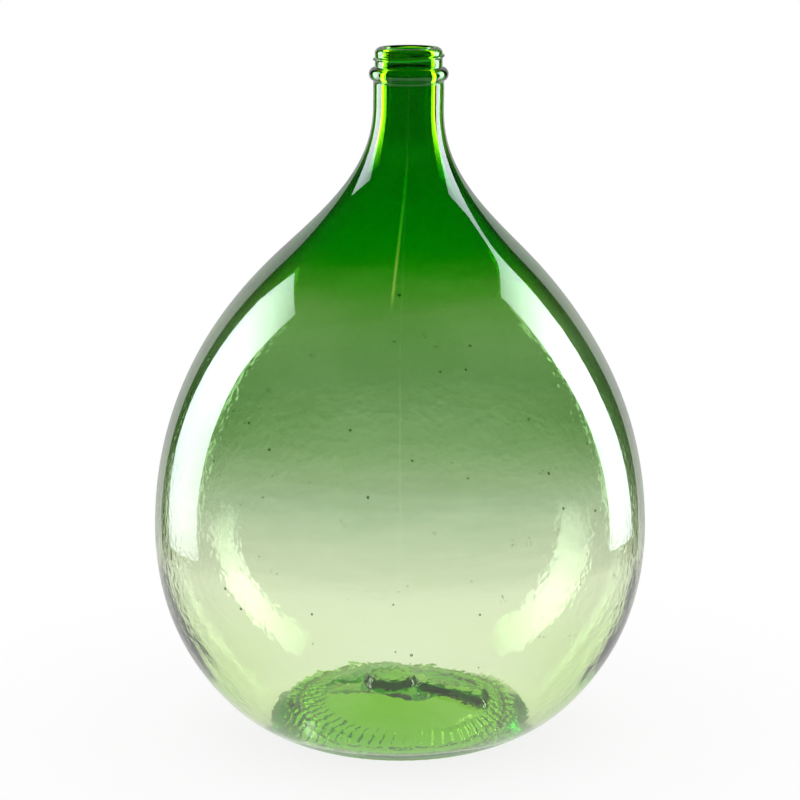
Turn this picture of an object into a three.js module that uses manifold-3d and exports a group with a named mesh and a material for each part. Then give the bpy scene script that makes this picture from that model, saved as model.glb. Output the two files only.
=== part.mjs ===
// A bare glass demijohn of about 54 litres: a pear-shaped bottle with a pushed-up base, a long
// shoulder, a short neck with a collar and an open mouth with a screw thread.
// Millimetres, +Z up. The origin is on the table, at the middle of the ring that it stands on.
//
// The real bottle is one unbroken wall of glass. It is drawn as nine stacked rings of that wall,
// which meet face to face on level cuts, so that each ring can be handled as a shape of its own.

import * as THREE from 'three';
import { mergeVertices } from 'three/addons/utils/BufferGeometryUtils.js';
import Module from 'manifold-3d';

// Heights: the whole bottle, and the rise of each stretch of the wall above the stretch below it
const HEIGHT = 646.5;
const HEEL_RISE = 40;
const LOWER_BELLY_RISE = 159;
const SHOULDER_RISE = 130;
const NECK_RISE = 26.5;
const COLLAR_RISE = 12;
const MOUTH_RISE = 18;

// Outside radii, from the bottle's own axis
const FOOT_RADIUS = 104;
const HEEL_RADIUS = 168;
const BELLY_RADIUS = 230;
const SHOULDER_RADIUS = 113;
const NECK_RADIUS = 32.5;
const COLLAR_PROUD = 4;
const MOUTH_RADIUS = 31;

// Slope of the outside, in degrees from level: at the foot, at the heel and at the steepest shoulder
const FOOT_SLOPE = 20;
const HEEL_SLOPE = 46;
const SHOULDER_SLOPE = 44;

// Thickness of the glass, square to the wall, and the bore of the neck
const HEEL_WALL = 6;
const BELLY_WALL = 3.2;
const SHOULDER_WALL = 4.5;
const BORE_RADIUS = 23;

// Pushed-up base from below: the flat ring under the foot, the step up from it, and a shallow cone
// that grows flatter at its knee and ends in a flat crown
const FOOT_LAND = 5;
const STEP_RISE = 9;
const STEP_DRAFT = 8;
const KNEE_RADIUS = 74;
const KNEE_HEIGHT = 16.5;
const CROWN_RADIUS = 34;
const PUNT_HEIGHT = 26;

// Its floor inside: the thickness at the middle, the round button there, the brink of the floor and
// the gutter around it
const BASE_WALL = 19;
const BUTTON_RADIUS = 27;
const BUTTON_RISE = 7;
const BUTTON_DRAFT = 3;
const FLOOR_INSET = 6.5;
const FLOOR_RISE = 25.5;
const GUTTER_OUTSET = 18;
const GUTTER_HEIGHT = 13;

// Lip and screw thread of the mouth
const LIP_ROUND = 3;
const BORE_ROUND = 1.5;
const THREAD_PITCH = 7;
const THREAD_DEPTH = 2;
const THREAD_WIDTH = 4;
const THREAD_CREST = 1.2;
const THREAD_ROOT = 0.8;
const THREAD_MARGIN = 1.4;
const THREAD_RUNOUT = 0.12;
const THREAD_START_TURN = 0.25;

// The neck was drawn a little to one side while the glass was soft
const NECK_LEAN = 8;
const LEAN_BELOW_SHOULDER = 95;

// Fineness of the facets
const FACETS = 48;
const HEEL_STEPS = 6;
const RING_STEPS = 5;
const SHOULDER_STEPS = 9;
const BEAD_STEPS = 4;
const LIP_STEPS = 3;
const THREAD_STEPS_PER_TURN = 32;

// How far a curve's handles reach, as a share of the straight line between its ends
const CURVE_REACH = 0.36;

// Halvings that find a height on a curve, enough for a thousandth of a micrometre
const HALVINGS = 40;

// Directions in which an outline runs, in degrees up from straight outwards
const OUTWARDS = 0;
const UPWARDS = 90;
const INWARDS = 180;
const DOWNWARDS = 270;

// Both long stretches of the belly are cut into two rings, this share of the way up
const RING_CUT = 0.5;

// Level cuts between the rings, up from the table and down from the lip. The upper belly takes
// the height that is left between them.
const TABLE = 0;
const HEEL_TOP = TABLE + HEEL_RISE;
const WIDEST = HEEL_TOP + LOWER_BELLY_RISE;
const LIP_TOP = TABLE + HEIGHT;
const COLLAR_TOP = LIP_TOP - MOUTH_RISE;
const COLLAR_FOOT = COLLAR_TOP - COLLAR_RISE;
const NECK_FOOT = COLLAR_FOOT - NECK_RISE;
const SHOULDER_FOOT = NECK_FOOT - SHOULDER_RISE;
const LOWER_CUT = THREE.MathUtils.lerp(HEEL_TOP, WIDEST, RING_CUT);
const UPPER_CUT = THREE.MathUtils.lerp(WIDEST, SHOULDER_FOOT, RING_CUT);

const wasm = await Module();
wasm.setup();

// Outlines are drawn in a half plane, x away from the axis and y up. A station is a point of the
// outline with the direction in which it runs there.
function station(radius, height, heading) {
  const angle = THREE.MathUtils.degToRad(heading);
  return {
    point: new THREE.Vector2(radius, height),
    heading,
    along: new THREE.Vector2(Math.cos(angle), Math.sin(angle)),
  };
}

// The same place on the inside of a wall of that thickness, at the same height
function insideOf(outer, wall) {
  const across = wall / Math.sin(THREE.MathUtils.degToRad(outer.heading));
  return station(outer.point.x - across, outer.point.y, outer.heading);
}

// A smooth curve from one station to the next
function sweep(from, to) {
  const reach = CURVE_REACH * from.point.distanceTo(to.point);
  const leave = from.point.clone().addScaledVector(from.along, reach);
  const arrive = to.point.clone().addScaledVector(to.along, -reach);
  return new THREE.CubicBezierCurve(from.point, leave, arrive, to.point);
}

function curve(from, to, steps) {
  return sweep(from, to).getPoints(steps);
}

// How far along a rising curve it reaches a height, found by halving
function shareAt(rising, height) {
  let low = 0;
  let high = 1;
  for (let i = 0; i < HALVINGS; i += 1) {
    const middle = (low + high) / 2;
    if (rising.getPoint(middle).y < height) {
      low = middle;
    } else {
      high = middle;
    }
  }
  return (low + high) / 2;
}

// Points of the part of a rising curve that lies between two level cuts
function between(rising, lowCut, highCut) {
  const from = shareAt(rising, lowCut);
  const to = shareAt(rising, highCut);
  const points = [];
  for (let i = 0; i <= RING_STEPS; i += 1) {
    points.push(rising.getPoint(THREE.MathUtils.lerp(from, to, i / RING_STEPS)));
  }
  points[0].y = lowCut;
  points[RING_STEPS].y = highCut;
  return points;
}

function corner(radius, height) {
  return [new THREE.Vector2(radius, height)];
}

// Joins stretches of an outline end to start, without the doubled points where they meet
function outline(...stretches) {
  const points = [];
  for (const point of stretches.flat()) {
    const last = points.at(-1);
    if (!last || !last.equals(point)) {
      points.push(point);
    }
  }
  return points;
}

// A ring of wall: up the outside, across the top cut, down the inside and back across the lower cut
function ringOutline(outside, inside) {
  return outline(outside, inside.toReversed(), [outside[0]]);
}

function turned(points) {
  return new THREE.LatheGeometry(points, FACETS);
}

// Sideways drift of the axis at a height: none on the belly, all of it from the collar up
function leanAt(height) {
  return NECK_LEAN * THREE.MathUtils.smoothstep(height, SHOULDER_FOOT - LEAN_BELOW_SHOULDER, COLLAR_FOOT);
}

// Stands a turned shape upright on the table and slides each level of it by the lean
function standUp(geometry) {
  const places = geometry.getAttribute('position');
  for (let i = 0; i < places.count; i += 1) {
    const height = places.getY(i);
    places.setXYZ(i, places.getX(i) + leanAt(height), -places.getZ(i), height);
  }
  geometry.computeVertexNormals();
  return geometry;
}

function solidOf(geometry) {
  const bare = geometry.clone();
  bare.deleteAttribute('normal');
  bare.deleteAttribute('uv');
  const merged = mergeVertices(bare);
  return new wasm.Manifold(new wasm.Mesh({
    numProp: 3,
    vertProperties: new Float32Array(merged.getAttribute('position').array),
    triVerts: new Uint32Array(merged.getIndex().array),
  }));
}

function geometryOf(solid) {
  const mesh = solid.getMesh();
  const geometry = new THREE.BufferGeometry();
  geometry.setAttribute('position', new THREE.BufferAttribute(mesh.vertProperties, 3));
  geometry.setIndex(new THREE.BufferAttribute(mesh.triVerts, 1));
  return geometry;
}

// Stations of the outside, from the foot to the straight neck
const foot = station(FOOT_RADIUS, TABLE, FOOT_SLOPE);
const heel = station(HEEL_RADIUS, HEEL_TOP, HEEL_SLOPE);
const belly = station(BELLY_RADIUS, WIDEST, UPWARDS);
const shoulder = station(SHOULDER_RADIUS, SHOULDER_FOOT, INWARDS - SHOULDER_SLOPE);
const neck = station(NECK_RADIUS, NECK_FOOT, UPWARDS);

// Stations of the inside, on the same level cuts
const innerHeel = insideOf(heel, HEEL_WALL);
const innerBelly = insideOf(belly, BELLY_WALL);
const innerShoulder = insideOf(shoulder, SHOULDER_WALL);
const innerNeck = station(BORE_RADIUS, NECK_FOOT, UPWARDS);

// Base: the crown and cone below, the step down to the flat ring, the heel that turns up into the
// belly, and inside it the gutter and the floor with its button
function basePunt() {
  const landRadius = FOOT_RADIUS - FOOT_LAND;
  const buttonTop = PUNT_HEIGHT + BASE_WALL;
  const gutter = station(FOOT_RADIUS + GUTTER_OUTSET, GUTTER_HEIGHT, INWARDS + FOOT_SLOPE);
  const heelDown = station(innerHeel.point.x, innerHeel.point.y, INWARDS + HEEL_SLOPE);
  return turned(outline(
    corner(0, PUNT_HEIGHT),
    corner(CROWN_RADIUS, PUNT_HEIGHT),
    corner(KNEE_RADIUS, KNEE_HEIGHT),
    corner(landRadius - STEP_DRAFT, STEP_RISE),
    corner(landRadius, TABLE),
    curve(foot, heel, HEEL_STEPS),
    curve(heelDown, gutter, HEEL_STEPS),
    corner(FOOT_RADIUS - FLOOR_INSET, FLOOR_RISE),
    corner(BUTTON_RADIUS, buttonTop - BUTTON_RISE),
    corner(BUTTON_RADIUS - BUTTON_DRAFT, buttonTop),
    corner(0, buttonTop),
  ));
}

// The thin wall below and above the widest place, outside and inside
const lowerWall = [sweep(heel, belly), sweep(innerHeel, innerBelly)];
const upperWall = [sweep(belly, shoulder), sweep(innerBelly, innerShoulder)];

function wallRing([outer, inner], lowCut, highCut) {
  return turned(ringOutline(between(outer, lowCut, highCut), between(inner, lowCut, highCut)));
}

// Shoulder: the wall thickens as it sweeps in to the neck
function shoulderSweep() {
  const outside = curve(shoulder, neck, SHOULDER_STEPS);
  const inside = curve(innerShoulder, innerNeck, SHOULDER_STEPS);
  return turned(ringOutline(outside, inside));
}

function straightBore(low, high) {
  return outline(corner(BORE_RADIUS, low), corner(BORE_RADIUS, high));
}

function neckTube() {
  const outside = outline(corner(NECK_RADIUS, NECK_FOOT), corner(NECK_RADIUS, COLLAR_FOOT));
  return turned(ringOutline(outside, straightBore(NECK_FOOT, COLLAR_FOOT)));
}

// Collar: a round bead that stands out between the neck and the narrower mouth
function collarBead() {
  const low = station(NECK_RADIUS, COLLAR_FOOT, OUTWARDS);
  const crest = station(NECK_RADIUS + COLLAR_PROUD, COLLAR_FOOT + COLLAR_RISE / 2, UPWARDS);
  const high = station(MOUTH_RADIUS, COLLAR_TOP, INWARDS);
  const outside = outline(curve(low, crest, BEAD_STEPS), curve(crest, high, BEAD_STEPS));
  return turned(ringOutline(outside, straightBore(COLLAR_FOOT, COLLAR_TOP)));
}

// Mouth: a plain tube with a rounded lip that is flat on top
function mouthTube() {
  const side = station(MOUTH_RADIUS, LIP_TOP - LIP_ROUND, UPWARDS);
  const top = station(MOUTH_RADIUS - LIP_ROUND, LIP_TOP, INWARDS);
  const rim = station(BORE_RADIUS + BORE_ROUND, LIP_TOP, INWARDS);
  const bore = station(BORE_RADIUS, LIP_TOP - BORE_ROUND, DOWNWARDS);
  return turned(outline(
    corner(MOUTH_RADIUS, COLLAR_TOP),
    curve(side, top, LIP_STEPS),
    curve(rim, bore, LIP_STEPS),
    corner(BORE_RADIUS, COLLAR_TOP),
    corner(MOUTH_RADIUS, COLLAR_TOP),
  ));
}

// A closed skin over a row of like sections, with a flat cap on the first and the last
function skinned(sections) {
  const corners = sections[0].length;
  const faces = [];
  for (let i = 0; i + 1 < sections.length; i += 1) {
    for (let j = 0; j < corners; j += 1) {
      const here = i * corners + j;
      const beside = i * corners + (j + 1) % corners;
      faces.push(here, here + corners, beside, beside, here + corners, beside + corners);
    }
  }
  const last = (sections.length - 1) * corners;
  for (let j = 1; j + 1 < corners; j += 1) {
    faces.push(0, j, j + 1, last, last + j + 1, last + j);
  }
  const geometry = new THREE.BufferGeometry();
  geometry.setAttribute('position', new THREE.Float32BufferAttribute(sections.flat(2), 3));
  geometry.setIndex(faces);
  return geometry;
}

// Thread: one right-handed ridge that climbs from the collar to the lip and runs out at both ends
function threadRidge() {
  const lowest = COLLAR_TOP + THREAD_WIDTH / 2 + THREAD_MARGIN;
  const highest = LIP_TOP - LIP_ROUND - THREAD_WIDTH / 2;
  const turns = (highest - lowest) / THREAD_PITCH;
  const steps = Math.ceil(turns * THREAD_STEPS_PER_TURN);
  const root = MOUTH_RADIUS - THREAD_ROOT;
  const sections = [];
  for (let i = 0; i <= steps; i += 1) {
    const share = i / steps;
    const angle = 2 * Math.PI * (THREAD_START_TURN + turns * share);
    const height = THREE.MathUtils.lerp(lowest, highest, share);
    const fade = Math.min(1, share / THREAD_RUNOUT, (1 - share) / THREAD_RUNOUT);
    const crest = MOUTH_RADIUS + THREAD_DEPTH * fade;
    sections.push([
      [root, -THREAD_WIDTH / 2],
      [crest, -THREAD_CREST / 2],
      [crest, THREAD_CREST / 2],
      [root, THREAD_WIDTH / 2],
    ].map(([radius, rise]) => [radius * Math.sin(angle), height + rise, radius * Math.cos(angle)]));
  }
  return skinned(sections);
}

function threadedMouth() {
  return geometryOf(solidOf(mouthTube()).add(solidOf(threadRidge())));
}

// Green bottle glass: deepest in the thick neck, palest in the thin lower belly, vivid in the base
const NECK_GREEN = 0x0b5c0b;
const SHOULDER_GREEN = 0x1f7a1b;
const UPPER_GREEN = 0x76a862;
const LOWER_GREEN = 0xd3e8bd;
const BASE_GREEN = 0x7fc23c;
const GLASS_ROUGHNESS = 0.04;

function glass(color) {
  return new THREE.MeshStandardMaterial({ color, roughness: GLASS_ROUGHNESS, metalness: 0 });
}

const demijohn = new THREE.Group();
demijohn.name = 'demijohn';

function addRing(name, geometry, color) {
  const ring = new THREE.Mesh(standUp(geometry), glass(color));
  ring.name = name;
  demijohn.add(ring);
}

addRing('base_punt', basePunt(), BASE_GREEN);
addRing('lower_belly', wallRing(lowerWall, HEEL_TOP, LOWER_CUT), LOWER_GREEN);
addRing('middle_belly', wallRing(lowerWall, LOWER_CUT, WIDEST), LOWER_GREEN);
addRing('upper_belly', wallRing(upperWall, WIDEST, UPPER_CUT), UPPER_GREEN);
addRing('lower_shoulder', wallRing(upperWall, UPPER_CUT, SHOULDER_FOOT), UPPER_GREEN);
addRing('upper_shoulder', shoulderSweep(), SHOULDER_GREEN);
addRing('neck', neckTube(), NECK_GREEN);
addRing('collar', collarBead(), NECK_GREEN);
addRing('threaded_mouth', threadedMouth(), NECK_GREEN);

export default demijohn;
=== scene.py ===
"""A bare green glass demijohn, blown in a mould, on a white table between two tall softboxes.

Metres, +Z up. The bottle stands on the table at the origin and the camera looks along +Y.
"""
import math

import bpy
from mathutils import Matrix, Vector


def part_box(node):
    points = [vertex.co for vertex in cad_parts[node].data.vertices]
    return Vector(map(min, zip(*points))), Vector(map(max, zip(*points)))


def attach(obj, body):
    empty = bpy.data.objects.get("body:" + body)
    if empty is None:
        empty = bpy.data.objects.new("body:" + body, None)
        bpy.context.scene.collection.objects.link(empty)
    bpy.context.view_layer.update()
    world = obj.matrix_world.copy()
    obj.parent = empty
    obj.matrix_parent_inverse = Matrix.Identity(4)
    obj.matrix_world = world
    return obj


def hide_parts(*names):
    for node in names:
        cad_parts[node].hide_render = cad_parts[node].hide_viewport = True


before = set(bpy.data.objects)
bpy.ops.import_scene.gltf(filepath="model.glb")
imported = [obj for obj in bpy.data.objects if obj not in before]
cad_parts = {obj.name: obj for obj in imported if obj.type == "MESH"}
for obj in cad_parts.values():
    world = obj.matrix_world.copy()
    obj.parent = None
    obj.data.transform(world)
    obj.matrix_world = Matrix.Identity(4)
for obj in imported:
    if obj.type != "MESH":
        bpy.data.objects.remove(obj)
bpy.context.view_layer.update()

MM = 0.001

# Heights of the level cuts between the rings of the wall, from the table to the lip
TABLE = 0.0
HEEL_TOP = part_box("lower_belly")[0][2]
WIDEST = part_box("upper_belly")[0][2]
SHOULDER_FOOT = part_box("upper_shoulder")[0][2]
NECK_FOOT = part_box("neck")[0][2]
COLLAR_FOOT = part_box("collar")[0][2]
COLLAR_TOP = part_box("threaded_mouth")[0][2]
LIP_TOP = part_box("threaded_mouth")[1][2]

# Outside radii from the bottle's own axis, and slopes of the outside in degrees from level
FOOT_RADIUS = 104 * MM
HEEL_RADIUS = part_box("base_punt")[1][1]
BELLY_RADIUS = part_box("middle_belly")[1][1]
SHOULDER_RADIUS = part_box("upper_shoulder")[1][1]
NECK_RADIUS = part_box("neck")[1][1]
COLLAR_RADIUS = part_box("collar")[1][1]
MOUTH_RADIUS = 31 * MM
FOOT_SLOPE = 20
HEEL_SLOPE = 46
SHOULDER_SLOPE = 44

# Thickness of the glass, square to the wall, and the bore of the neck
HEEL_WALL = 6 * MM
BELLY_WALL = 3.2 * MM
SHOULDER_WALL = 4.5 * MM
BORE_RADIUS = 23 * MM

# Pushed-up base: flat ring, step, shallow cone, gutter around the floor inside, and button
FOOT_LAND = 5 * MM
STEP_RISE = 9 * MM
STEP_DRAFT = 8 * MM
KNEE_RADIUS = 74 * MM
KNEE_HEIGHT = 16.5 * MM
PUNT_HEIGHT = 26 * MM
CROWN_RADIUS = 34 * MM
BASE_WALL = 19 * MM
FLOOR_INSET = 6.5 * MM
FLOOR_RISE = 25.5 * MM
GUTTER_OUTSET = 18 * MM
GUTTER_HEIGHT = 13 * MM
BUTTON_RADIUS = 27 * MM
BUTTON_RISE = 7 * MM
BUTTON_DRAFT = 3 * MM

# A corner is rounded off over this length, but over no more than this share of either side
CORNER_ROUND = 1.6 * MM
CORNER_SHARE = 0.45

# The floor inside is off the axis by this much, and the underside as far to the other side. The
# underside keeps its place outside the first of two radii and is moved in full inside the second, and
# what is above the limit isn't moved.
PUNT_SHIFT = -8 * MM
UNDERSIDE_STILL = 91 * MM
UNDERSIDE_MOVED = 70 * MM
BASE_LIMIT = 2 * PUNT_HEIGHT

# Shear mark: the lap that the cut end of the molten gob left across the floor, as a turn in degrees
# from straight to the right, a reach from the axis and a height for each of its two arms
LAP_ARMS = ((-13, 90 * MM, 6.5 * MM), (157, 58 * MM, 2.5 * MM))
LAP_WIDTH = 20 * MM
LAP_EDGE = 4.5 * MM

# Ribs moulded into the underside, around the ring that the bottle stands on
RIB_COUNT = 56
RIB_DEPTH = 1.2 * MM
RIB_INNER_RADIUS = 80 * MM
RIB_OUTER_RADIUS = 106 * MM
RIB_FADE = 2 * MM

# Lip and right-handed screw thread
LIP_ROUND = 5 * MM
BORE_ROUND = 2.5 * MM
THREAD_PITCH = 7 * MM
THREAD_DEPTH = 2 * MM
THREAD_WIDTH = 4 * MM
THREAD_MARGIN = 1.4 * MM
THREAD_HEADROOM = 3 * MM
THREAD_RUNOUT = 0.12
THREAD_START_TURN = 0.25

# The neck was drawn a little to one side while the glass was soft
NECK_LEAN = 8 * MM
LEAN_START = SHOULDER_FOOT - 95 * MM

# Fineness: points along each stretch of the outline, and steps of one turn, a whole number per rib
TURN_STEPS = 5 * RIB_COUNT
FINE_STEPS = 3
SHORT_STEPS = 8
MIDDLE_STEPS = 20
LONG_STEPS = 30
THREAD_STEPS = 24
WELD = 0.01 * MM

# How far a curve's handles reach, as a share of the straight line between its ends
CURVE_REACH = 0.36

# Waviness of the hand-finished glass: long swells by surface, and a short crimp inside, low down
OUTER_RIPPLE = 0.05 * MM
INNER_RIPPLE = 0.35 * MM
FLOOR_RIPPLE = 0.5 * MM
RIPPLE_LENGTH = 45 * MM
HEEL_CRIMP = 0.25 * MM
GUTTER_CRIMP = 0.45 * MM
CRIMP_LENGTH = 13 * MM

# Small dimples of the inside, which never touched the mould. They fade out up the shoulder, between
# two heights, and fade to a part of their depth down to the base.
DIMPLE_LENGTH = 7 * MM
DIMPLE_DEPTH = 0.28 * MM
DIMPLES_SHOULDER = (470 * MM, 340 * MM)
DIMPLES_BASE = (100 * MM, 180 * MM)
DIMPLES_LEAST = 0.25

# Seeds: air bubbles caught in the middle of the wall, and the numbers that fix their random draws
SEEDS_PER_SQUARE_METRE = 280
SEEDS_LOW = 50 * MM
SEEDS_HIGH = 400 * MM
SEED_SMALL = 0.6 * MM
SEED_LARGE = 1.4 * MM
SEED_FINENESS = 2
SEED_PLACES_DRAW = 7
SEED_SIZES_DRAW = 3

# Glass: its index of refraction, and the colour that it takes on with depth
GLASS_IOR = 1.52
DEPTH_TINT = "#CAF300"
DEPTH_DENSITY = 52.0

# Tint of the glass by height, and in the thick neck that of its outer and of its inner face
TINTS = (
    (120 * MM, "#FFFFFF"),
    (190 * MM, "#F8F8F8"),
    (250 * MM, "#CFDCCD"),
    (310 * MM, "#A0BD96"),
    (390 * MM, "#B2CEAC"),
    (430 * MM, "#88BA6D"),
    (465 * MM, "#2CB100"),
    (535 * MM, "#06A500"),
)
NECK_TINTS = ("#94E61E", "#006C00")
NECK_TINT_HEIGHTS = (535 * MM, 570 * MM)

# Cords: flat streaks of uneven glass, which shift the tint up and down by up to half of this rise
CORD_SCALE = (1 / (60 * MM), 1 / (60 * MM), 1 / (12 * MM))
CORD_RISE = 24 * MM

# Painted shade: a dark edge where the outside turns from view, growing from one height to the other
PAINTED_EDGE_SHADE = "#2A442C"
PAINTED_EDGE_TURN = (0.53, 0.64)
PAINTED_EDGE_HEIGHTS = (180 * MM, 480 * MM)

# Painted shade on the steep sides of the button and the shear mark: a level face has a slope of 1 here
PAINTED_STEEP_SHADE = "#1C2618"
STEEP_SHADE_SLOPE = (0.7, 0.97)
STEEP_SHADE_RADIUS = 95 * MM
STEEP_SHADE_HIGH = 60 * MM

# Pale streak of the mould's parting line: the direction across it, its distance from the axis that way,
# its half width without and with its soft edge, and for each end the heights where it starts and is full
STREAK_TINT = "#D0E48C"
STREAK_ACROSS = (1.0, -0.134, 0.0)
STREAK_ASIDE = 11.2 * MM
STREAK_HALF_WIDTHS = (0.5 * MM, 1.8 * MM)
STREAK_ENDS = ((425 * MM, 440 * MM), (552 * MM, 520 * MM))

# White table, lit evenly but for the part of its light near the bottle that takes the bottle's shadow,
# and a painted pool of green light under the base, seen through the glass
TABLE_WHITE = "#FBFBFB"
TABLE_RADIUS = 0.76
TABLE_CORNERS = 96
SHADOW_RADII = (0.25, 0.7)
EVEN_LIGHT = 0.85
PAINTED_BASE_LIGHT = "#8DC927"
PAINTED_BASE_LIGHT_RADII = (0.095, 0.125)
TABLE_REFLECTED = 0.75

# The white room, which reflections show dark, with a white card behind the bottle that fades upwards
# between two angles. Other places are parts of a view direction one metre long, along X, Y or Z.
ROOM_WHITE = "#FFFFFF"
ROOM_DARK = 0.03
SKY_ANGLES = (35, 55)
SKY_DARK = 0.25
SOFT_CARD_DEPTH = 0.5
SOFT_CARD_LEVEL = 0.7
SOFT_CARD_SIDES = (0.3, 0.5)
SOFT_CARD_PAST = 0.12
FLOOR_DROP = (-0.36, -0.2)

# The same card in reflections off the outside has sharp sides, at this share of its distance behind
CARD_EDGE = 0.6
CARD_BLUR = 0.03
CARD_LEVELS = (0.4, 0.95)
CARD_NEAREST = 0.01

# Softboxes: their distance and turn from the bottle, the middle and the spread of their light, and for
# each its name, its side, its light at the middle and at the spread's end, and its corners
SOFTBOX_WHITE = "#EDF3FF"
SOFTBOX_DISTANCE = 0.8
SOFTBOX_TURN = 60
SOFTBOX_MIDDLE = (0.84, 0.14, 0.65)
SOFTBOX_SPREAD = 0.75
SOFTBOXES = (
    ("left", -1, (13.0, 0.43), (
        (0.0, 0.03), (0.38, 0.01), (0.32, 0.7), (0.38, 1.22), (-0.04, 1.0), (-0.1, 0.75), (-0.06, 0.3),
    )),
    ("right", 1, (13.9, 0.97), (
        (-0.02, 0.05), (0.29, 0.04), (0.31, 1.22), (0.03, 1.08), (-0.08, 1.06), (0.02, 0.42),
    )),
)

# Camera: its place, its turn down in degrees, and its lens and sensor in millimetres
CAMERA_PLACE = (0.0, -2.6823, 0.8657)
CAMERA_PITCH = 11.539
CAMERA_LENS = 131.89
CAMERA_SENSOR = 36.0

# How often light may turn in the glass, and be mirrored
LIGHT_BOUNCES = 24
MIRROR_BOUNCES = 12

# Directions in which an outline runs, in degrees up from straight outwards
OUTWARDS = 0
UPWARDS = 90
INWARDS = 180
DOWNWARDS = 270

# Sockets of a Mix node by their place, because its numbers and its colours share their names
NUMBER_A, NUMBER_B = 2, 3
COLOUR_A, COLOUR_B = 6, 7
COLOUR_MIXED = 2


def colour(code):
    """Linear RGBA of an sRGB hex value."""
    channels = [int(code[i:i + 2], 16) / 255 for i in (1, 3, 5)]
    linear = [c / 12.92 if c <= 0.04045 else ((c + 0.055) / 1.055) ** 2.4 for c in channels]
    return (*linear, 1.0)


def add(tree, kind, inputs=(), **settings):
    """Adds a node with its settings. Its inputs are listed in order, or by name in a dict, and each
    is a plain value, a socket to link, or a node whose first output is linked."""
    node = tree.nodes.new(kind)
    for name, value in settings.items():
        setattr(node, name, value)
    for key, value in inputs.items() if isinstance(inputs, dict) else enumerate(inputs):
        if isinstance(value, bpy.types.Node):
            value = value.outputs[0]
        if isinstance(value, bpy.types.NodeSocket):
            tree.links.new(value, node.inputs[key])
        else:
            node.inputs[key].default_value = value
    return node


def place(obj):
    """Puts an object in the scene."""
    bpy.context.scene.collection.objects.link(obj)
    return obj


# Outline of the glass

def station(radius, height, heading):
    """A point of the outline and the direction in which the outline runs there."""
    angle = math.radians(heading)
    return radius, height, math.cos(angle), math.sin(angle)


def inside_of(outer, heading, wall):
    """The same place on the inside of a wall of that thickness, at the same height."""
    return station(outer[0] - wall / math.sin(math.radians(heading)), outer[1], heading)


def sweep(start, end, steps):
    """Points of a smooth curve from one station to the next."""
    reach = CURVE_REACH * math.hypot(end[0] - start[0], end[1] - start[1])
    points = []
    for i in range(steps + 1):
        t = i / steps
        weights = ((1 - t) ** 3, 3 * t * (1 - t) ** 2, 3 * t * t * (1 - t), t ** 3)
        point = []
        for axis in (0, 1):
            handles = (
                start[axis],
                start[axis] + reach * start[axis + 2],
                end[axis] - reach * end[axis + 2],
                end[axis],
            )
            point.append(sum(w * h for w, h in zip(weights, handles)))
        points.append(tuple(point))
    return points


def straight(start, end, steps):
    """Evenly spaced points of a straight line."""
    return [tuple(a + (b - a) * i / steps for a, b in zip(start, end)) for i in range(steps + 1)]


def bevelled(before, corner, after):
    """A corner of the outline, rounded off."""
    ends = []
    for other in (before, after):
        length = math.hypot(other[0] - corner[0], other[1] - corner[1])
        share = min(CORNER_SHARE, CORNER_ROUND / length)
        ends.append(tuple(c + share * (o - c) for c, o in zip(corner, other)))
    points = []
    for i in range(FINE_STEPS + 1):
        t = i / FINE_STEPS
        points.append(tuple(
            (1 - t) ** 2 * a + 2 * t * (1 - t) * c + t * t * b
            for a, c, b in zip(ends[0], corner, ends[1])
        ))
    return points


foot = station(FOOT_RADIUS, TABLE, FOOT_SLOPE)
heel = station(HEEL_RADIUS, HEEL_TOP, HEEL_SLOPE)
belly = station(BELLY_RADIUS, WIDEST, UPWARDS)
shoulder = station(SHOULDER_RADIUS, SHOULDER_FOOT, INWARDS - SHOULDER_SLOPE)
neck = station(NECK_RADIUS, NECK_FOOT, UPWARDS)
inner_heel = inside_of(heel, HEEL_SLOPE, HEEL_WALL)
inner_belly = inside_of(belly, UPWARDS, BELLY_WALL)
inner_shoulder = inside_of(shoulder, INWARDS - SHOULDER_SLOPE, SHOULDER_WALL)
inner_neck = station(BORE_RADIUS, NECK_FOOT, UPWARDS)
gutter = station(FOOT_RADIUS + GUTTER_OUTSET, GUTTER_HEIGHT, INWARDS + FOOT_SLOPE)
brink = (FOOT_RADIUS - FLOOR_INSET, FLOOR_RISE)


def underside():
    """From the middle of the pushed-up base out to the ring that stands on the table."""
    middle = (0.0, PUNT_HEIGHT)
    crown = (CROWN_RADIUS, PUNT_HEIGHT)
    land = (FOOT_RADIUS - FOOT_LAND, TABLE)
    step = (land[0] - STEP_DRAFT, STEP_RISE)
    knee = (KNEE_RADIUS, KNEE_HEIGHT)
    return [
        *straight(middle, crown, FINE_STEPS)[:-1],
        *bevelled(middle, crown, knee),
        *straight(crown, knee, SHORT_STEPS)[1:-1],
        *straight(knee, step, SHORT_STEPS)[:-1],
        *bevelled(knee, step, land),
        *straight(step, land, SHORT_STEPS)[1:-1],
        *bevelled(step, land, foot[:2]),
        *straight(land, foot[:2], FINE_STEPS)[1:-1],
    ]


def outside():
    """Up the outside from the foot to the collar."""
    return [
        *sweep(foot, heel, MIDDLE_STEPS)[:-1],
        *sweep(heel, belly, MIDDLE_STEPS)[:-1],
        *sweep(belly, shoulder, LONG_STEPS)[:-1],
        *sweep(shoulder, neck, MIDDLE_STEPS)[:-1],
        *straight(neck[:2], (NECK_RADIUS, COLLAR_FOOT), SHORT_STEPS)[:-1],
    ]


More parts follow.
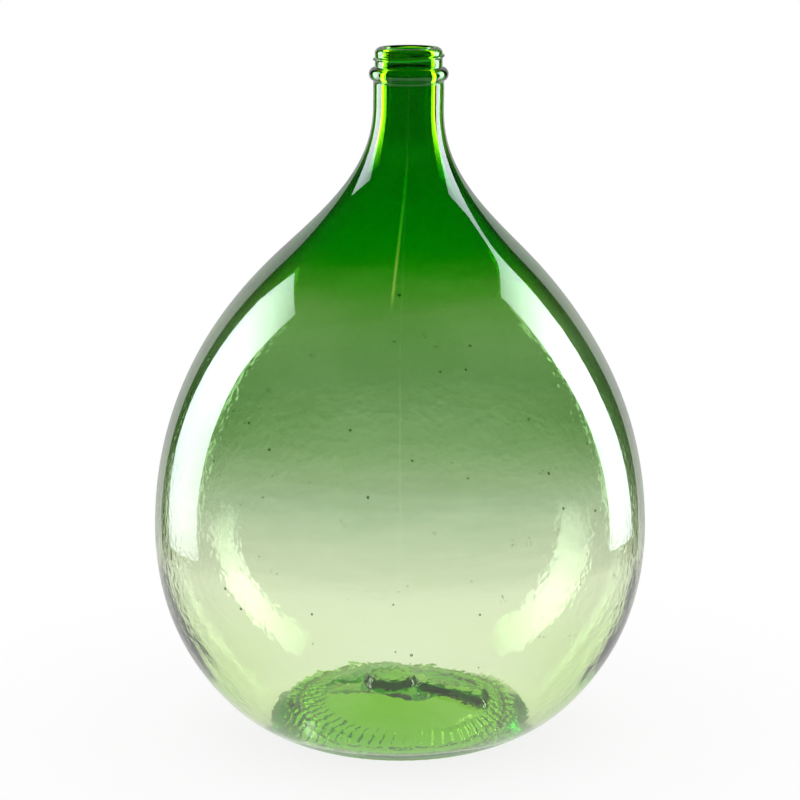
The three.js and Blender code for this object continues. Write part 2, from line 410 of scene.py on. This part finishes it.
def mouth():
    """Over the collar, the threaded wall and the lip, and down into the bore."""
    crest = station(COLLAR_RADIUS, (COLLAR_FOOT + COLLAR_TOP) / 2, UPWARDS)
    side = station(MOUTH_RADIUS, LIP_TOP - LIP_ROUND, UPWARDS)
    top = station(MOUTH_RADIUS - LIP_ROUND, LIP_TOP, INWARDS)
    rim = station(BORE_RADIUS + BORE_ROUND, LIP_TOP, INWARDS)
    bore = station(BORE_RADIUS, LIP_TOP - BORE_ROUND, DOWNWARDS)
    return [
        *sweep(station(NECK_RADIUS, COLLAR_FOOT, OUTWARDS), crest, SHORT_STEPS)[:-1],
        *sweep(crest, station(MOUTH_RADIUS, COLLAR_TOP, INWARDS), SHORT_STEPS)[:-1],
        *straight((MOUTH_RADIUS, COLLAR_TOP), side[:2], THREAD_STEPS)[:-1],
        *sweep(side, top, SHORT_STEPS)[:-1],
        *straight(top[:2], rim[:2], FINE_STEPS)[:-1],
        *sweep(rim, bore, FINE_STEPS)[:-1],
    ]


def inside():
    """Down the inside from the bore to the heel."""
    upper = sweep(inner_shoulder, inner_neck, MIDDLE_STEPS)
    middle = sweep(inner_belly, inner_shoulder, LONG_STEPS)
    lower = sweep(inner_heel, inner_belly, MIDDLE_STEPS)
    return [
        *straight((BORE_RADIUS, LIP_TOP - BORE_ROUND), inner_neck[:2], SHORT_STEPS)[:-1],
        *upper[:0:-1],
        *middle[:0:-1],
        *lower[:0:-1],
    ]


def floor_inside():
    """Down into the gutter, up its side and over the cone to the middle of the button inside."""
    middle = (0.0, PUNT_HEIGHT + BASE_WALL)
    crown = (BUTTON_RADIUS - BUTTON_DRAFT, middle[1])
    edge = (BUTTON_RADIUS, middle[1] - BUTTON_RISE)
    heel_down = sweep(station(*inner_heel[:2], INWARDS + HEEL_SLOPE), gutter, SHORT_STEPS)
    return [
        *heel_down[:-1],
        *bevelled(heel_down[-2], gutter[:2], brink),
        *straight(gutter[:2], brink, SHORT_STEPS)[1:-1],
        *bevelled(gutter[:2], brink, edge),
        *straight(brink, edge, MIDDLE_STEPS)[1:-1],
        *bevelled(brink, edge, crown),
        *bevelled(edge, crown, middle),
        *straight(crown, middle, FINE_STEPS)[1:],
    ]


def trapezoid(value, low, high, edge):
    """1 between two limits, falling to 0 over a width outside each of them."""
    return max(0.0, min(1.0, 1 + (value - low) / edge, 1 + (high - value) / edge))


def outline_points():
    """The closed outline as an object of loose points, which also carry how wavy the glass is there,
    how deep its ribs are, and whether it is the inside."""
    stretches = (
        (underside(), OUTER_RIPPLE, True, False),
        (outside(), OUTER_RIPPLE, True, False),
        (mouth(), 0.0, False, False),
        (inside(), INNER_RIPPLE, False, True),
        (floor_inside(), FLOOR_RIPPLE, False, True),
    )
    points = []
    carried = {"ripple": [], "crimp": [], "rib": [], "inside": []}
    for stretch, ripple, ribbed, within in stretches:
        for radius, height in stretch:
            points.append((radius, 0.0, height))
            calm = min(1.0, max(0.0, (NECK_FOOT - height) / (NECK_FOOT - SHOULDER_FOOT)))
            crimp = HEEL_CRIMP * trapezoid(height, TABLE, HEEL_TOP, WIDEST - HEEL_TOP)
            if height < HEEL_TOP and radius > BUTTON_RADIUS:
                cold = trapezoid(radius, FOOT_RADIUS, gutter[0], FLOOR_INSET)
                crimp = max(crimp, GUTTER_CRIMP * cold)
            ribs = trapezoid(radius, RIB_INNER_RADIUS, RIB_OUTER_RADIUS, RIB_FADE)
            carried["ripple"].append(ripple * calm)
            carried["crimp"].append(crimp if within else 0.0)
            carried["rib"].append(RIB_DEPTH * ribs if ribbed and height < HEEL_TOP else 0.0)
            carried["inside"].append(1.0 if within else 0.0)
    mesh = bpy.data.meshes.new("bottle_outline")
    mesh.from_pydata(points, [], [])
    for name, values in carried.items():
        mesh.attributes.new(name, "FLOAT", "POINT").data.foreach_set("value", values)
    return place(bpy.data.objects.new("bottle_outline", mesh))


# Geometry Nodes

def new_tree(name, sockets):
    """An empty tree with a geometry in and out and these named inputs. Returns it with its two ends."""
    tree = bpy.data.node_groups.new(name, "GeometryNodeTree")
    tree.interface.new_socket("Geometry", in_out="INPUT", socket_type="NodeSocketGeometry")
    tree.interface.new_socket("Geometry", in_out="OUTPUT", socket_type="NodeSocketGeometry")
    for label, kind in sockets:
        tree.interface.new_socket(label, in_out="INPUT", socket_type="NodeSocket" + kind)
    return tree, add(tree, "NodeGroupInput").outputs, add(tree, "NodeGroupOutput").inputs


def turned_wall_tree():
    """Turns the outline about the axis, waves and ribs the glass, leans the neck and adds the seeds."""
    tree, given, result = new_tree("turned_wall", (
        ("Turn Steps", "Int"), ("Ribs", "Int"), ("Ripple Length", "Float"), ("Crimp Length", "Float"),
        ("Lean", "Float"), ("Lean Start", "Float"), ("Lean End", "Float"),
        ("Seed Density", "Float"), ("Seeds Low", "Float"), ("Seeds High", "Float"),
        ("Seed Small", "Float"), ("Seed Large", "Float"), ("Seed Depth", "Float"), ("Glass", "Material"),
    ))
    drawn = given["Geometry"]

    # A grid with a row for each point of the outline and a column for each step of the turn
    count = add(tree, "GeometryNodeAttributeDomainSize", (drawn,)).outputs["Point Count"]
    columns = add(tree, "ShaderNodeMath", (given["Turn Steps"], 1.0), operation="ADD")
    grid = add(tree, "GeometryNodeMeshGrid", {"Vertices X": columns, "Vertices Y": count})
    index = add(tree, "GeometryNodeInputIndex")
    row = add(tree, "ShaderNodeMath", (index, count), operation="MODULO")
    column = add(tree, "ShaderNodeMath", (index, count), operation="DIVIDE")
    column = add(tree, "ShaderNodeMath", (column,), operation="FLOOR")
    skin = grid.outputs["Mesh"]
    carried = {}
    for name in ("ripple", "crimp", "rib", "inside"):
        carried[name] = add(tree, "GeometryNodeInputNamedAttribute", {"Name": name}).outputs[0]
        value = add(tree, "GeometryNodeSampleIndex", {
            "Geometry": drawn, "Value": carried[name], "Index": row,
        })
        skin = add(tree, "GeometryNodeStoreNamedAttribute", {
            "Geometry": skin, "Name": name, "Value": value,
        })
    here = add(tree, "GeometryNodeInputPosition")
    point = add(tree, "GeometryNodeSampleIndex", {
        "Geometry": drawn, "Value": here, "Index": row,
    }, data_type="FLOAT_VECTOR")
    turn = add(tree, "ShaderNodeMath", (column, given["Turn Steps"]), operation="DIVIDE")
    turn = add(tree, "ShaderNodeMath", (turn, math.tau), operation="MULTIPLY")
    spun = add(tree, "ShaderNodeVectorRotate", {"Vector": point, "Angle": turn}, rotation_type="Z_AXIS")
    skin = add(tree, "GeometryNodeSetPosition", {"Geometry": skin, "Position": spun})
    skin = add(tree, "GeometryNodeMergeByDistance", {"Geometry": skin, "Distance": WELD})

    # Swells and crimps along the normal, and grooves cut between narrow ribs, which stay as drawn
    swell = 0.0
    for name, length in (("ripple", given["Ripple Length"]), ("crimp", given["Crimp Length"])):
        scale = add(tree, "ShaderNodeMath", (1.0, length), operation="DIVIDE")
        noise = add(tree, "ShaderNodeTexNoise", {"Vector": here, "Scale": scale, "Detail": 2.0})
        wave = add(tree, "ShaderNodeMath", (noise, 2.0, -1.0), operation="MULTIPLY_ADD")
        swell = add(tree, "ShaderNodeMath", (wave, carried[name], swell), operation="MULTIPLY_ADD")
    now = add(tree, "ShaderNodeSeparateXYZ", (here,)).outputs
    round_axis = add(tree, "ShaderNodeMath", (now["Y"], now["X"]), operation="ARCTAN2")
    ridge = add(tree, "ShaderNodeMath", (round_axis, given["Ribs"]), operation="MULTIPLY")
    ridge = add(tree, "ShaderNodeMath", (ridge,), operation="COSINE")
    ridge = add(tree, "ShaderNodeMath", (ridge, 0.0), operation="MAXIMUM")
    groove = add(tree, "ShaderNodeMath", (ridge, ridge, -1.0), operation="MULTIPLY_ADD")
    swell = add(tree, "ShaderNodeMath", (groove, carried["rib"], swell), operation="MULTIPLY_ADD")
    normal = add(tree, "GeometryNodeInputNormal")
    push = add(tree, "ShaderNodeVectorMath", {0: normal, "Scale": swell}, operation="SCALE")
    skin = add(tree, "GeometryNodeSetPosition", {"Geometry": skin, "Offset": push})

    # The lean of the neck grows smoothly with height
    lean = add(tree, "ShaderNodeMapRange", (
        now["Z"], given["Lean Start"], given["Lean End"], 0.0, given["Lean"],
    ), interpolation_type="SMOOTHSTEP")
    aside = add(tree, "ShaderNodeCombineXYZ", (lean,))
    skin = add(tree, "GeometryNodeSetPosition", {"Geometry": skin, "Offset": aside})

    # Round bubbles in the wall, turned inside out because the glass is around them
    chosen = add(tree, "ShaderNodeMath", (carried["inside"], 0.5), operation="LESS_THAN")
    above = add(tree, "ShaderNodeMath", (now["Z"], given["Seeds Low"]), operation="GREATER_THAN")
    below = add(tree, "ShaderNodeMath", (now["Z"], given["Seeds High"]), operation="LESS_THAN")
    for part in (above, below):
        chosen = add(tree, "ShaderNodeMath", (chosen, part), operation="MULTIPLY")
    spots = add(tree, "GeometryNodeDistributePointsOnFaces", {
        "Mesh": skin, "Selection": chosen, "Density": given["Seed Density"], "Seed": SEED_PLACES_DRAW,
    }).outputs
    depth = add(tree, "ShaderNodeMath", (given["Seed Depth"], -1.0), operation="MULTIPLY")
    sunk = add(tree, "ShaderNodeVectorMath", {0: spots["Normal"], "Scale": depth}, operation="SCALE")
    spots = add(tree, "GeometryNodeSetPosition", {"Geometry": spots["Points"], "Offset": sunk})
    bubble = add(tree, "GeometryNodeMeshIcoSphere", {"Radius": 1.0, "Subdivisions": SEED_FINENESS})
    bubble = add(tree, "GeometryNodeFlipFaces", (bubble,))
    size = add(tree, "FunctionNodeRandomValue", {
        "Min": given["Seed Small"], "Max": given["Seed Large"], "Seed": SEED_SIZES_DRAW,
    }, data_type="FLOAT")
    seeds = add(tree, "GeometryNodeInstanceOnPoints", {
        "Points": spots, "Instance": bubble, "Scale": size.outputs["Value"],
    })
    whole = add(tree, "GeometryNodeJoinGeometry", (skin,))
    tree.links.new(seeds.outputs[0], whole.inputs[0])

    for name in ("ripple", "crimp", "rib"):
        whole = add(tree, "GeometryNodeRemoveAttribute", {"Geometry": whole, "Name": name})
    whole = add(tree, "GeometryNodeSetShadeSmooth", {"Geometry": whole})
    whole = add(tree, "GeometryNodeRealizeInstances", {"Geometry": whole})
    whole = add(tree, "GeometryNodeSetMaterial", {"Geometry": whole, "Material": given["Glass"]})
    tree.links.new(whole.outputs[0], result["Geometry"])
    return tree


def grown(source, tree, values, name):
    """The plain mesh that a tree makes from an object, as an object of its own."""
    modifier = source.modifiers.new(tree.name, "NODES")
    modifier.node_group = tree
    for item in tree.interface.items_tree:
        if item.name in values:
            modifier[item.identifier] = values[item.name]
    bpy.context.view_layer.update()
    evaluated = source.evaluated_get(bpy.context.evaluated_depsgraph_get())
    mesh = bpy.data.meshes.new_from_object(evaluated)
    source.modifiers.remove(modifier)
    mesh.name = name
    return place(bpy.data.objects.new(name, mesh))


# Details pressed into the grown mesh

def lean_at(height):
    """How far the axis leans to the right at a height."""
    share = min(1.0, max(0.0, (height - LEAN_START) / (COLLAR_FOOT - LEAN_START)))
    return NECK_LEAN * share * share * (3 - 2 * share)


def raise_thread(mesh):
    """Pushes the mouth's outside out along one climbing ridge that runs out at both ends."""
    lowest = COLLAR_TOP + THREAD_WIDTH / 2 + THREAD_MARGIN
    highest = LIP_TOP - THREAD_HEADROOM - THREAD_WIDTH / 2
    turns = (highest - lowest) / THREAD_PITCH
    for vertex in mesh.vertices:
        axis = lean_at(vertex.co.z)
        radius = math.hypot(vertex.co.x - axis, vertex.co.y)
        if vertex.co.z <= COLLAR_TOP or radius < MOUTH_RADIUS - LIP_ROUND / 2:
            continue
        turn = math.atan2(vertex.co.x - axis, -vertex.co.y) / math.tau - THREAD_START_TURN
        lift = 0.0
        for whole in range(math.ceil(turns)):
            climbed = turn % 1.0 + whole
            share = climbed / turns
            fade = max(0.0, min(1.0, share / THREAD_RUNOUT, (1 - share) / THREAD_RUNOUT))
            away = abs(vertex.co.z - lowest - climbed * THREAD_PITCH) / (THREAD_WIDTH / 2)
            lift = max(lift, fade * THREAD_DEPTH * (0.5 + 0.5 * math.cos(math.pi * min(1.0, away))))
        vertex.co.x += lift * (vertex.co.x - axis) / radius
        vertex.co.y += lift * vertex.co.y / radius


def shift_punt(mesh):
    """Moves the floor inside to the left of the axis and the underside to the right of it. The lowest
    line of the gutter and the ring that stands on the table stay where they are."""
    within = mesh.attributes["inside"].data
    for vertex in mesh.vertices:
        if vertex.co.z >= BASE_LIMIT:
            continue
        still, moved, shift = UNDERSIDE_STILL, UNDERSIDE_MOVED, -PUNT_SHIFT
        if within[vertex.index].value > 0.5:
            still, moved, shift = gutter[0], brink[0], PUNT_SHIFT
        share = (still - math.hypot(vertex.co.x, vertex.co.y)) / (still - moved)
        vertex.co.x += shift * min(1.0, max(0.0, share))


def raise_lap(mesh):
    """Lifts the shear mark's two arms out of the floor inside, from the button outwards."""
    within = mesh.attributes["inside"].data
    for vertex in mesh.vertices:
        if within[vertex.index].value < 0.5 or vertex.co.z > BASE_LIMIT:
            continue
        aside = vertex.co.x - PUNT_SHIFT
        for turn, reach, height in LAP_ARMS:
            angle = math.radians(turn)
            along = aside * math.cos(angle) + vertex.co.y * math.sin(angle)
            across = vertex.co.y * math.cos(angle) - aside * math.sin(angle)
            wide = trapezoid(across, -LAP_WIDTH / 2, LAP_WIDTH / 2, LAP_EDGE)
            vertex.co.z += height * wide * trapezoid(along, BUTTON_RADIUS + LAP_EDGE, reach, LAP_EDGE)


# The bottle's material

def wall_tint(tree, where, height, within):
    """The wall is thickest, and so the deepest green, at the shoulder and the neck. What the glass takes
    from the light is shared out between its two faces, and waves a little up and down."""
    cords = add(tree, "ShaderNodeVectorMath", (where, CORD_SCALE), operation="MULTIPLY")
    cords = add(tree, "ShaderNodeTexNoise", {"Vector": cords, "Scale": 1.0, "Detail": 2.0})
    cords = add(tree, "ShaderNodeMath", (cords, -0.5), operation="ADD")
    level = add(tree, "ShaderNodeMath", (cords, CORD_RISE, height), operation="MULTIPLY_ADD")
    share = add(tree, "ShaderNodeMath", (level, LIP_TOP), operation="DIVIDE")
    ramp = add(tree, "ShaderNodeValToRGB", (share,))
    ramp.color_ramp.interpolation = "CARDINAL"
    elements = ramp.color_ramp.elements
    while len(elements) < len(TINTS):
        elements.new(1.0)
    for element, (stop, code) in zip(elements, TINTS):
        element.position = stop / LIP_TOP
        element.color = colour(code)
    faces = add(tree, "ShaderNodeMix", {
        "Factor": within, COLOUR_A: colour(NECK_TINTS[0]), COLOUR_B: colour(NECK_TINTS[1]),
    }, data_type="RGBA").outputs[COLOUR_MIXED]
    up = add(tree, "ShaderNodeMapRange", (height, *NECK_TINT_HEIGHTS), interpolation_type="SMOOTHSTEP")
    return add(tree, "ShaderNodeMix", {
        "Factor": up, COLOUR_A: ramp, COLOUR_B: faces,
    }, data_type="RGBA").outputs[COLOUR_MIXED]


def streak_share(tree, where, height):
    """1 on the thin, paler streak that the mould's parting line left down the front of the shoulder."""
    away = add(tree, "ShaderNodeVectorMath", (where, STREAK_ACROSS), operation="DOT_PRODUCT")
    away = add(tree, "ShaderNodeMath", (away.outputs["Value"], STREAK_ASIDE), operation="SUBTRACT")
    away = add(tree, "ShaderNodeMath", (away,), operation="ABSOLUTE")
    share = add(tree, "ShaderNodeMapRange", (away, *STREAK_HALF_WIDTHS, 1.0, 0.0))
    depth = add(tree, "ShaderNodeSeparateXYZ", (where,)).outputs["Y"]
    parts = [add(tree, "ShaderNodeMath", (depth, 0.0), operation="LESS_THAN")]
    for start, full in STREAK_ENDS:
        parts.append(add(tree, "ShaderNodeMapRange", (height, start, full)))
    for part in parts:
        share = add(tree, "ShaderNodeMath", (share, part), operation="MULTIPLY")
    return share


def painted_edge_shade_share(tree, height, within):
    """1 where the outside turns away: painted shade that makes the outline nearly black there, for the
    dark reflections and, in part, the long way through thick glass seen along its edge, as at the
    outline of the neck."""
    share = add(tree, "ShaderNodeLayerWeight", {"Blend": 0.5}).outputs["Facing"]
    share = add(tree, "ShaderNodeMapRange", (share, *PAINTED_EDGE_TURN))
    high = add(tree, "ShaderNodeMapRange", (height, *PAINTED_EDGE_HEIGHTS))
    outer = add(tree, "ShaderNodeMath", (1.0, within), operation="SUBTRACT")
    for part in (high, outer):
        share = add(tree, "ShaderNodeMath", (share, part), operation="MULTIPLY")
    return share


def painted_steep_shade_share(tree, where, height, within):
    """1 on the steep sides of the button and the shear mark, which painted shade makes nearly black, for
    the dark that they reflect.
    """
    slope = add(tree, "ShaderNodeNewGeometry").outputs["Normal"]
    slope = add(tree, "ShaderNodeSeparateXYZ", (slope,)).outputs["Z"]
    slope = add(tree, "ShaderNodeMath", (slope,), operation="ABSOLUTE")
    share = add(tree, "ShaderNodeMapRange", (slope, *STEEP_SHADE_SLOPE, 1.0, 0.0))
    radius = add(tree, "ShaderNodeVectorMath", (where, (1.0, 1.0, 0.0)), operation="MULTIPLY")
    radius = add(tree, "ShaderNodeVectorMath", (radius,), operation="LENGTH").outputs["Value"]
    near = add(tree, "ShaderNodeMath", (radius, STEEP_SHADE_RADIUS), operation="LESS_THAN")
    low = add(tree, "ShaderNodeMath", (height, STEEP_SHADE_HIGH), operation="LESS_THAN")
    for part in (near, low, within):
        share = add(tree, "ShaderNodeMath", (share, part), operation="MULTIPLY")
    return share


def dimple_relief(tree, where, height, within):
    """Dimples of the inside, which bend what is seen through the belly."""
    relief = add(tree, "ShaderNodeTexNoise", {
        "Vector": where, "Scale": 1 / DIMPLE_LENGTH, "Detail": 1.0,
    })
    down_shoulder = add(tree, "ShaderNodeMapRange", (height, *DIMPLES_SHOULDER))
    up_base = add(tree, "ShaderNodeMapRange", (height, *DIMPLES_BASE, DIMPLES_LEAST, 1.0))
    for part in (down_shoulder, up_base, within):
        relief = add(tree, "ShaderNodeMath", (relief, part), operation="MULTIPLY")
    return add(tree, "ShaderNodeBump", {"Strength": 1.0, "Distance": DIMPLE_DEPTH, "Height": relief})


def new_material(name):
    """A material with an empty tree. Returns both."""
    material = bpy.data.materials.new(name)
    material.use_nodes = True
    material.node_tree.nodes.clear()
    return material, material.node_tree


def bottle_glass():
    """Soda-lime bottle glass tinted green by iron: clear, hard and mirror-smooth outside, dimpled
    inside."""
    material, tree = new_material("green_bottle_glass")
    where = add(tree, "ShaderNodeTexCoord").outputs["Object"]
    height = add(tree, "ShaderNodeSeparateXYZ", (where,)).outputs["Z"]
    within = add(tree, "ShaderNodeAttribute", attribute_name="inside").outputs["Fac"]
    tint = wall_tint(tree, where, height, within)
    # The streak is paler, thinner glass; the dark edge and the dark steep sides are painted shade
    streak_and_painted_shades = (
        (streak_share(tree, where, height), STREAK_TINT),
        (painted_edge_shade_share(tree, height, within), PAINTED_EDGE_SHADE),
        (painted_steep_shade_share(tree, where, height, within), PAINTED_STEEP_SHADE),
    )
    for share, code in streak_and_painted_shades:
        tint = add(tree, "ShaderNodeMix", {
            "Factor": share, COLOUR_A: tint, COLOUR_B: colour(code),
        }, data_type="RGBA").outputs[COLOUR_MIXED]
    shader = add(tree, "ShaderNodeBsdfPrincipled", {
        "Base Color": tint, "Roughness": 0.0, "IOR": GLASS_IOR, "Transmission Weight": 1.0,
        "Normal": dimple_relief(tree, where, height, within),
    })
    depth = add(tree, "ShaderNodeVolumeAbsorption", {
        "Color": colour(DEPTH_TINT), "Density": DEPTH_DENSITY,
    })
    add(tree, "ShaderNodeOutputMaterial", {"Surface": shader, "Volume": depth})
    return material


# The bottle

glass = bottle_glass()
outline = outline_points()
bottle = grown(outline, turned_wall_tree(), {
    "Turn Steps": TURN_STEPS, "Ribs": RIB_COUNT,
    "Ripple Length": RIPPLE_LENGTH, "Crimp Length": CRIMP_LENGTH,
    "Lean": NECK_LEAN, "Lean Start": LEAN_START, "Lean End": COLLAR_FOOT,
    "Seed Density": SEEDS_PER_SQUARE_METRE, "Seeds Low": SEEDS_LOW, "Seeds High": SEEDS_HIGH,
    "Seed Small": SEED_SMALL, "Seed Large": SEED_LARGE, "Seed Depth": BELLY_WALL / 2, "Glass": glass,
}, "glass_bottle")
bpy.data.objects.remove(outline)
raise_thread(bottle.data)
shift_punt(bottle.data)
raise_lap(bottle.data)
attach(bottle, "root")
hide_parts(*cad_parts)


# Stage: a white table, two tall softboxes that only the glass sees, and a white room

def reflected(tree):
    """1 on a ray that has been reflected on its way, outside or within the glass. Returns it with the
    outputs of its Light Path node."""
    path = add(tree, "ShaderNodeLightPath").outputs
    return add(tree, "ShaderNodeMath", (path["Glossy Depth"], 0.5), operation="GREATER_THAN"), path


def white_table():
    """White laminate under the bottle, which takes its shadow and fades into the white room. Where it is
    seen through the glass, a pool of green light is painted on it under the thick base."""
    material, tree = new_material("white_laminate")
    where = add(tree, "ShaderNodeTexCoord").outputs["Object"]
    distance = add(tree, "ShaderNodeVectorMath", (where,), operation="LENGTH").outputs["Value"]
    even = add(tree, "ShaderNodeMapRange", (
        distance, *SHADOW_RADII, EVEN_LIGHT, 1.0,
    ), interpolation_type="SMOOTHSTEP")
    bounced, path = reflected(tree)
    through = add(tree, "ShaderNodeMath", (bounced, path["Is Transmission Ray"]), operation="MAXIMUM")
    even = add(tree, "ShaderNodeMath", (even, through), operation="MAXIMUM")
    under = add(tree, "ShaderNodeMapRange", (
        distance, *PAINTED_BASE_LIGHT_RADII, 1.0, 0.0,
    ), interpolation_type="SMOOTHSTEP")
    under = add(tree, "ShaderNodeMath", (under, through), operation="MULTIPLY")
    light = add(tree, "ShaderNodeMix", {
        "Factor": under, COLOUR_A: colour(ROOM_WHITE), COLOUR_B: colour(PAINTED_BASE_LIGHT),
    }, data_type="RGBA").outputs[COLOUR_MIXED]
    level = add(tree, "ShaderNodeMix", {"Factor": bounced, NUMBER_A: 1.0, NUMBER_B: TABLE_REFLECTED})
    matt = add(tree, "ShaderNodeBsdfDiffuse", {"Color": colour(TABLE_WHITE)})
    glow = add(tree, "ShaderNodeEmission", {"Color": light, "Strength": level})
    mixed = add(tree, "ShaderNodeMixShader", (even, matt, glow))
    add(tree, "ShaderNodeOutputMaterial", {"Surface": mixed})
    return material


def softbox_cloth(name, bright, dim):
    """White cloth lit from behind: as white as the room through clear glass, and in a reflection a cool
    white that is bright at the middle of the softbox and falls off from there."""
    material, tree = new_material(name)
    bounced, _ = reflected(tree)
    where = add(tree, "ShaderNodeTexCoord").outputs["Object"]
    one_side = add(tree, "ShaderNodeVectorMath", (where,), operation="ABSOLUTE")
    away = add(tree, "ShaderNodeVectorMath", (one_side, SOFTBOX_MIDDLE), operation="DISTANCE")
    level = add(tree, "ShaderNodeMapRange", (away.outputs["Value"], 0.0, SOFTBOX_SPREAD, bright, dim))
    level = add(tree, "ShaderNodeMix", {"Factor": bounced, NUMBER_A: 1.0, NUMBER_B: level})
    light = add(tree, "ShaderNodeMix", {
        "Factor": bounced, COLOUR_A: colour(ROOM_WHITE), COLOUR_B: colour(SOFTBOX_WHITE),
    }, data_type="RGBA").outputs[COLOUR_MIXED]
    glow = add(tree, "ShaderNodeEmission", {"Color": light, "Strength": level})
    add(tree, "ShaderNodeOutputMaterial", {"Surface": glow})
    material.cycles.emission_sampling = "NONE"
    return material


def stage_piece(name, corners, material):
    """A flat piece of the stage with these corners."""
    mesh = bpy.data.meshes.new(name)
    mesh.from_pydata(corners, [], [range(len(corners))])
    mesh.materials.append(material)
    piece = place(bpy.data.objects.new(name, mesh))
    return piece


def softbox(name, side, shape, material):
    """A standing softbox on one side, which only the glass sees. Its shape runs along it, towards the
    camera, and up."""
    turn = math.radians(SOFTBOX_TURN)
    corners = []
    for along, height in shape:
        x = SOFTBOX_DISTANCE * math.sin(turn) + along * math.cos(turn)
        y = SOFTBOX_DISTANCE * math.cos(turn) - along * math.sin(turn)
        corners.append((side * x, y, height))
    piece = stage_piece(name, corners, material)
    piece.visible_camera = False
    piece.visible_diffuse = False
    piece.visible_shadow = False


def white_room():
    """White on every side to the camera and through the glass. A reflection sees a dark room instead,
    with a white card behind the bottle and the table's white below."""
    world = bpy.data.worlds.new("white_room")
    world.use_nodes = True
    tree = world.node_tree
    tree.nodes.clear()
    bounced, path = reflected(tree)
    aim = add(tree, "ShaderNodeTexCoord").outputs["Generated"]
    aim = add(tree, "ShaderNodeSeparateXYZ", (aim,)).outputs
    aside = add(tree, "ShaderNodeMath", (aim["X"],), operation="ABSOLUTE")
    rises = [math.sin(math.radians(angle)) for angle in SKY_ANGLES]
    sky = add(tree, "ShaderNodeMapRange", (aim["Z"], *rises, 1.0, SKY_DARK))

    # The card with soft sides, after a reflection within the glass
    soft_card = add(tree, "ShaderNodeMapRange", (
        aim["Y"], 0.0, SOFT_CARD_DEPTH, ROOM_DARK, SOFT_CARD_LEVEL,
    ))
    soft_side = add(tree, "ShaderNodeMapRange", (
        aside, *SOFT_CARD_SIDES, 1.0, SOFT_CARD_PAST,
    ), interpolation_type="SMOOTHSTEP")

    # The card with sharp sides, straight after a reflection
    behind = add(tree, "ShaderNodeMath", (aim["Y"], CARD_NEAREST), operation="MAXIMUM")
    across = add(tree, "ShaderNodeMath", (aside, behind), operation="DIVIDE")
    card = add(tree, "ShaderNodeMapRange", (across, 0.0, CARD_EDGE, *CARD_LEVELS))
    side = add(tree, "ShaderNodeMapRange", (across, CARD_EDGE, CARD_EDGE + CARD_BLUR, 1.0, ROOM_DARK))

    for part in (soft_side, sky):
        soft_card = add(tree, "ShaderNodeMath", (soft_card, part), operation="MULTIPLY")
    for part in (side, sky):
        card = add(tree, "ShaderNodeMath", (card, part), operation="MULTIPLY")
    seen = add(tree, "ShaderNodeMix", {
        "Factor": path["Is Reflection Ray"], NUMBER_A: soft_card, NUMBER_B: card,
    })
    floor = add(tree, "ShaderNodeMapRange", (
        aim["Z"], *FLOOR_DROP, TABLE_REFLECTED, 0.0,
    ), interpolation_type="SMOOTHSTEP")
    seen = add(tree, "ShaderNodeMath", (seen, floor), operation="MAXIMUM")
    level = add(tree, "ShaderNodeMix", {"Factor": bounced, NUMBER_A: 1.0, NUMBER_B: seen})
    light = add(tree, "ShaderNodeBackground", {"Color": colour(ROOM_WHITE), "Strength": level})
    add(tree, "ShaderNodeOutputWorld", {"Surface": light})
    return world


table_edge = []
for corner in range(TABLE_CORNERS):
    angle = math.tau * corner / TABLE_CORNERS
    table_edge.append((TABLE_RADIUS * math.cos(angle), TABLE_RADIUS * math.sin(angle), TABLE))
stage_piece("table", table_edge, white_table())
for name, side, levels, shape in SOFTBOXES:
    softbox("softbox_" + name, side, shape, softbox_cloth("softbox_cloth_" + name, *levels))

# Camera and light

camera = bpy.data.cameras.new("camera")
camera.sensor_width = CAMERA_SENSOR
camera.lens = CAMERA_LENS
viewer = place(bpy.data.objects.new("camera", camera))
viewer.location = CAMERA_PLACE
viewer.rotation_euler = (math.radians(90 - CAMERA_PITCH), 0.0, 0.0)

scene = bpy.context.scene
scene.camera = viewer
scene.world = white_room()
scene.view_settings.view_transform = "Standard"
scene.cycles.max_bounces = LIGHT_BOUNCES
scene.cycles.transmission_bounces = LIGHT_BOUNCES
scene.cycles.glossy_bounces = MIRROR_BOUNCES
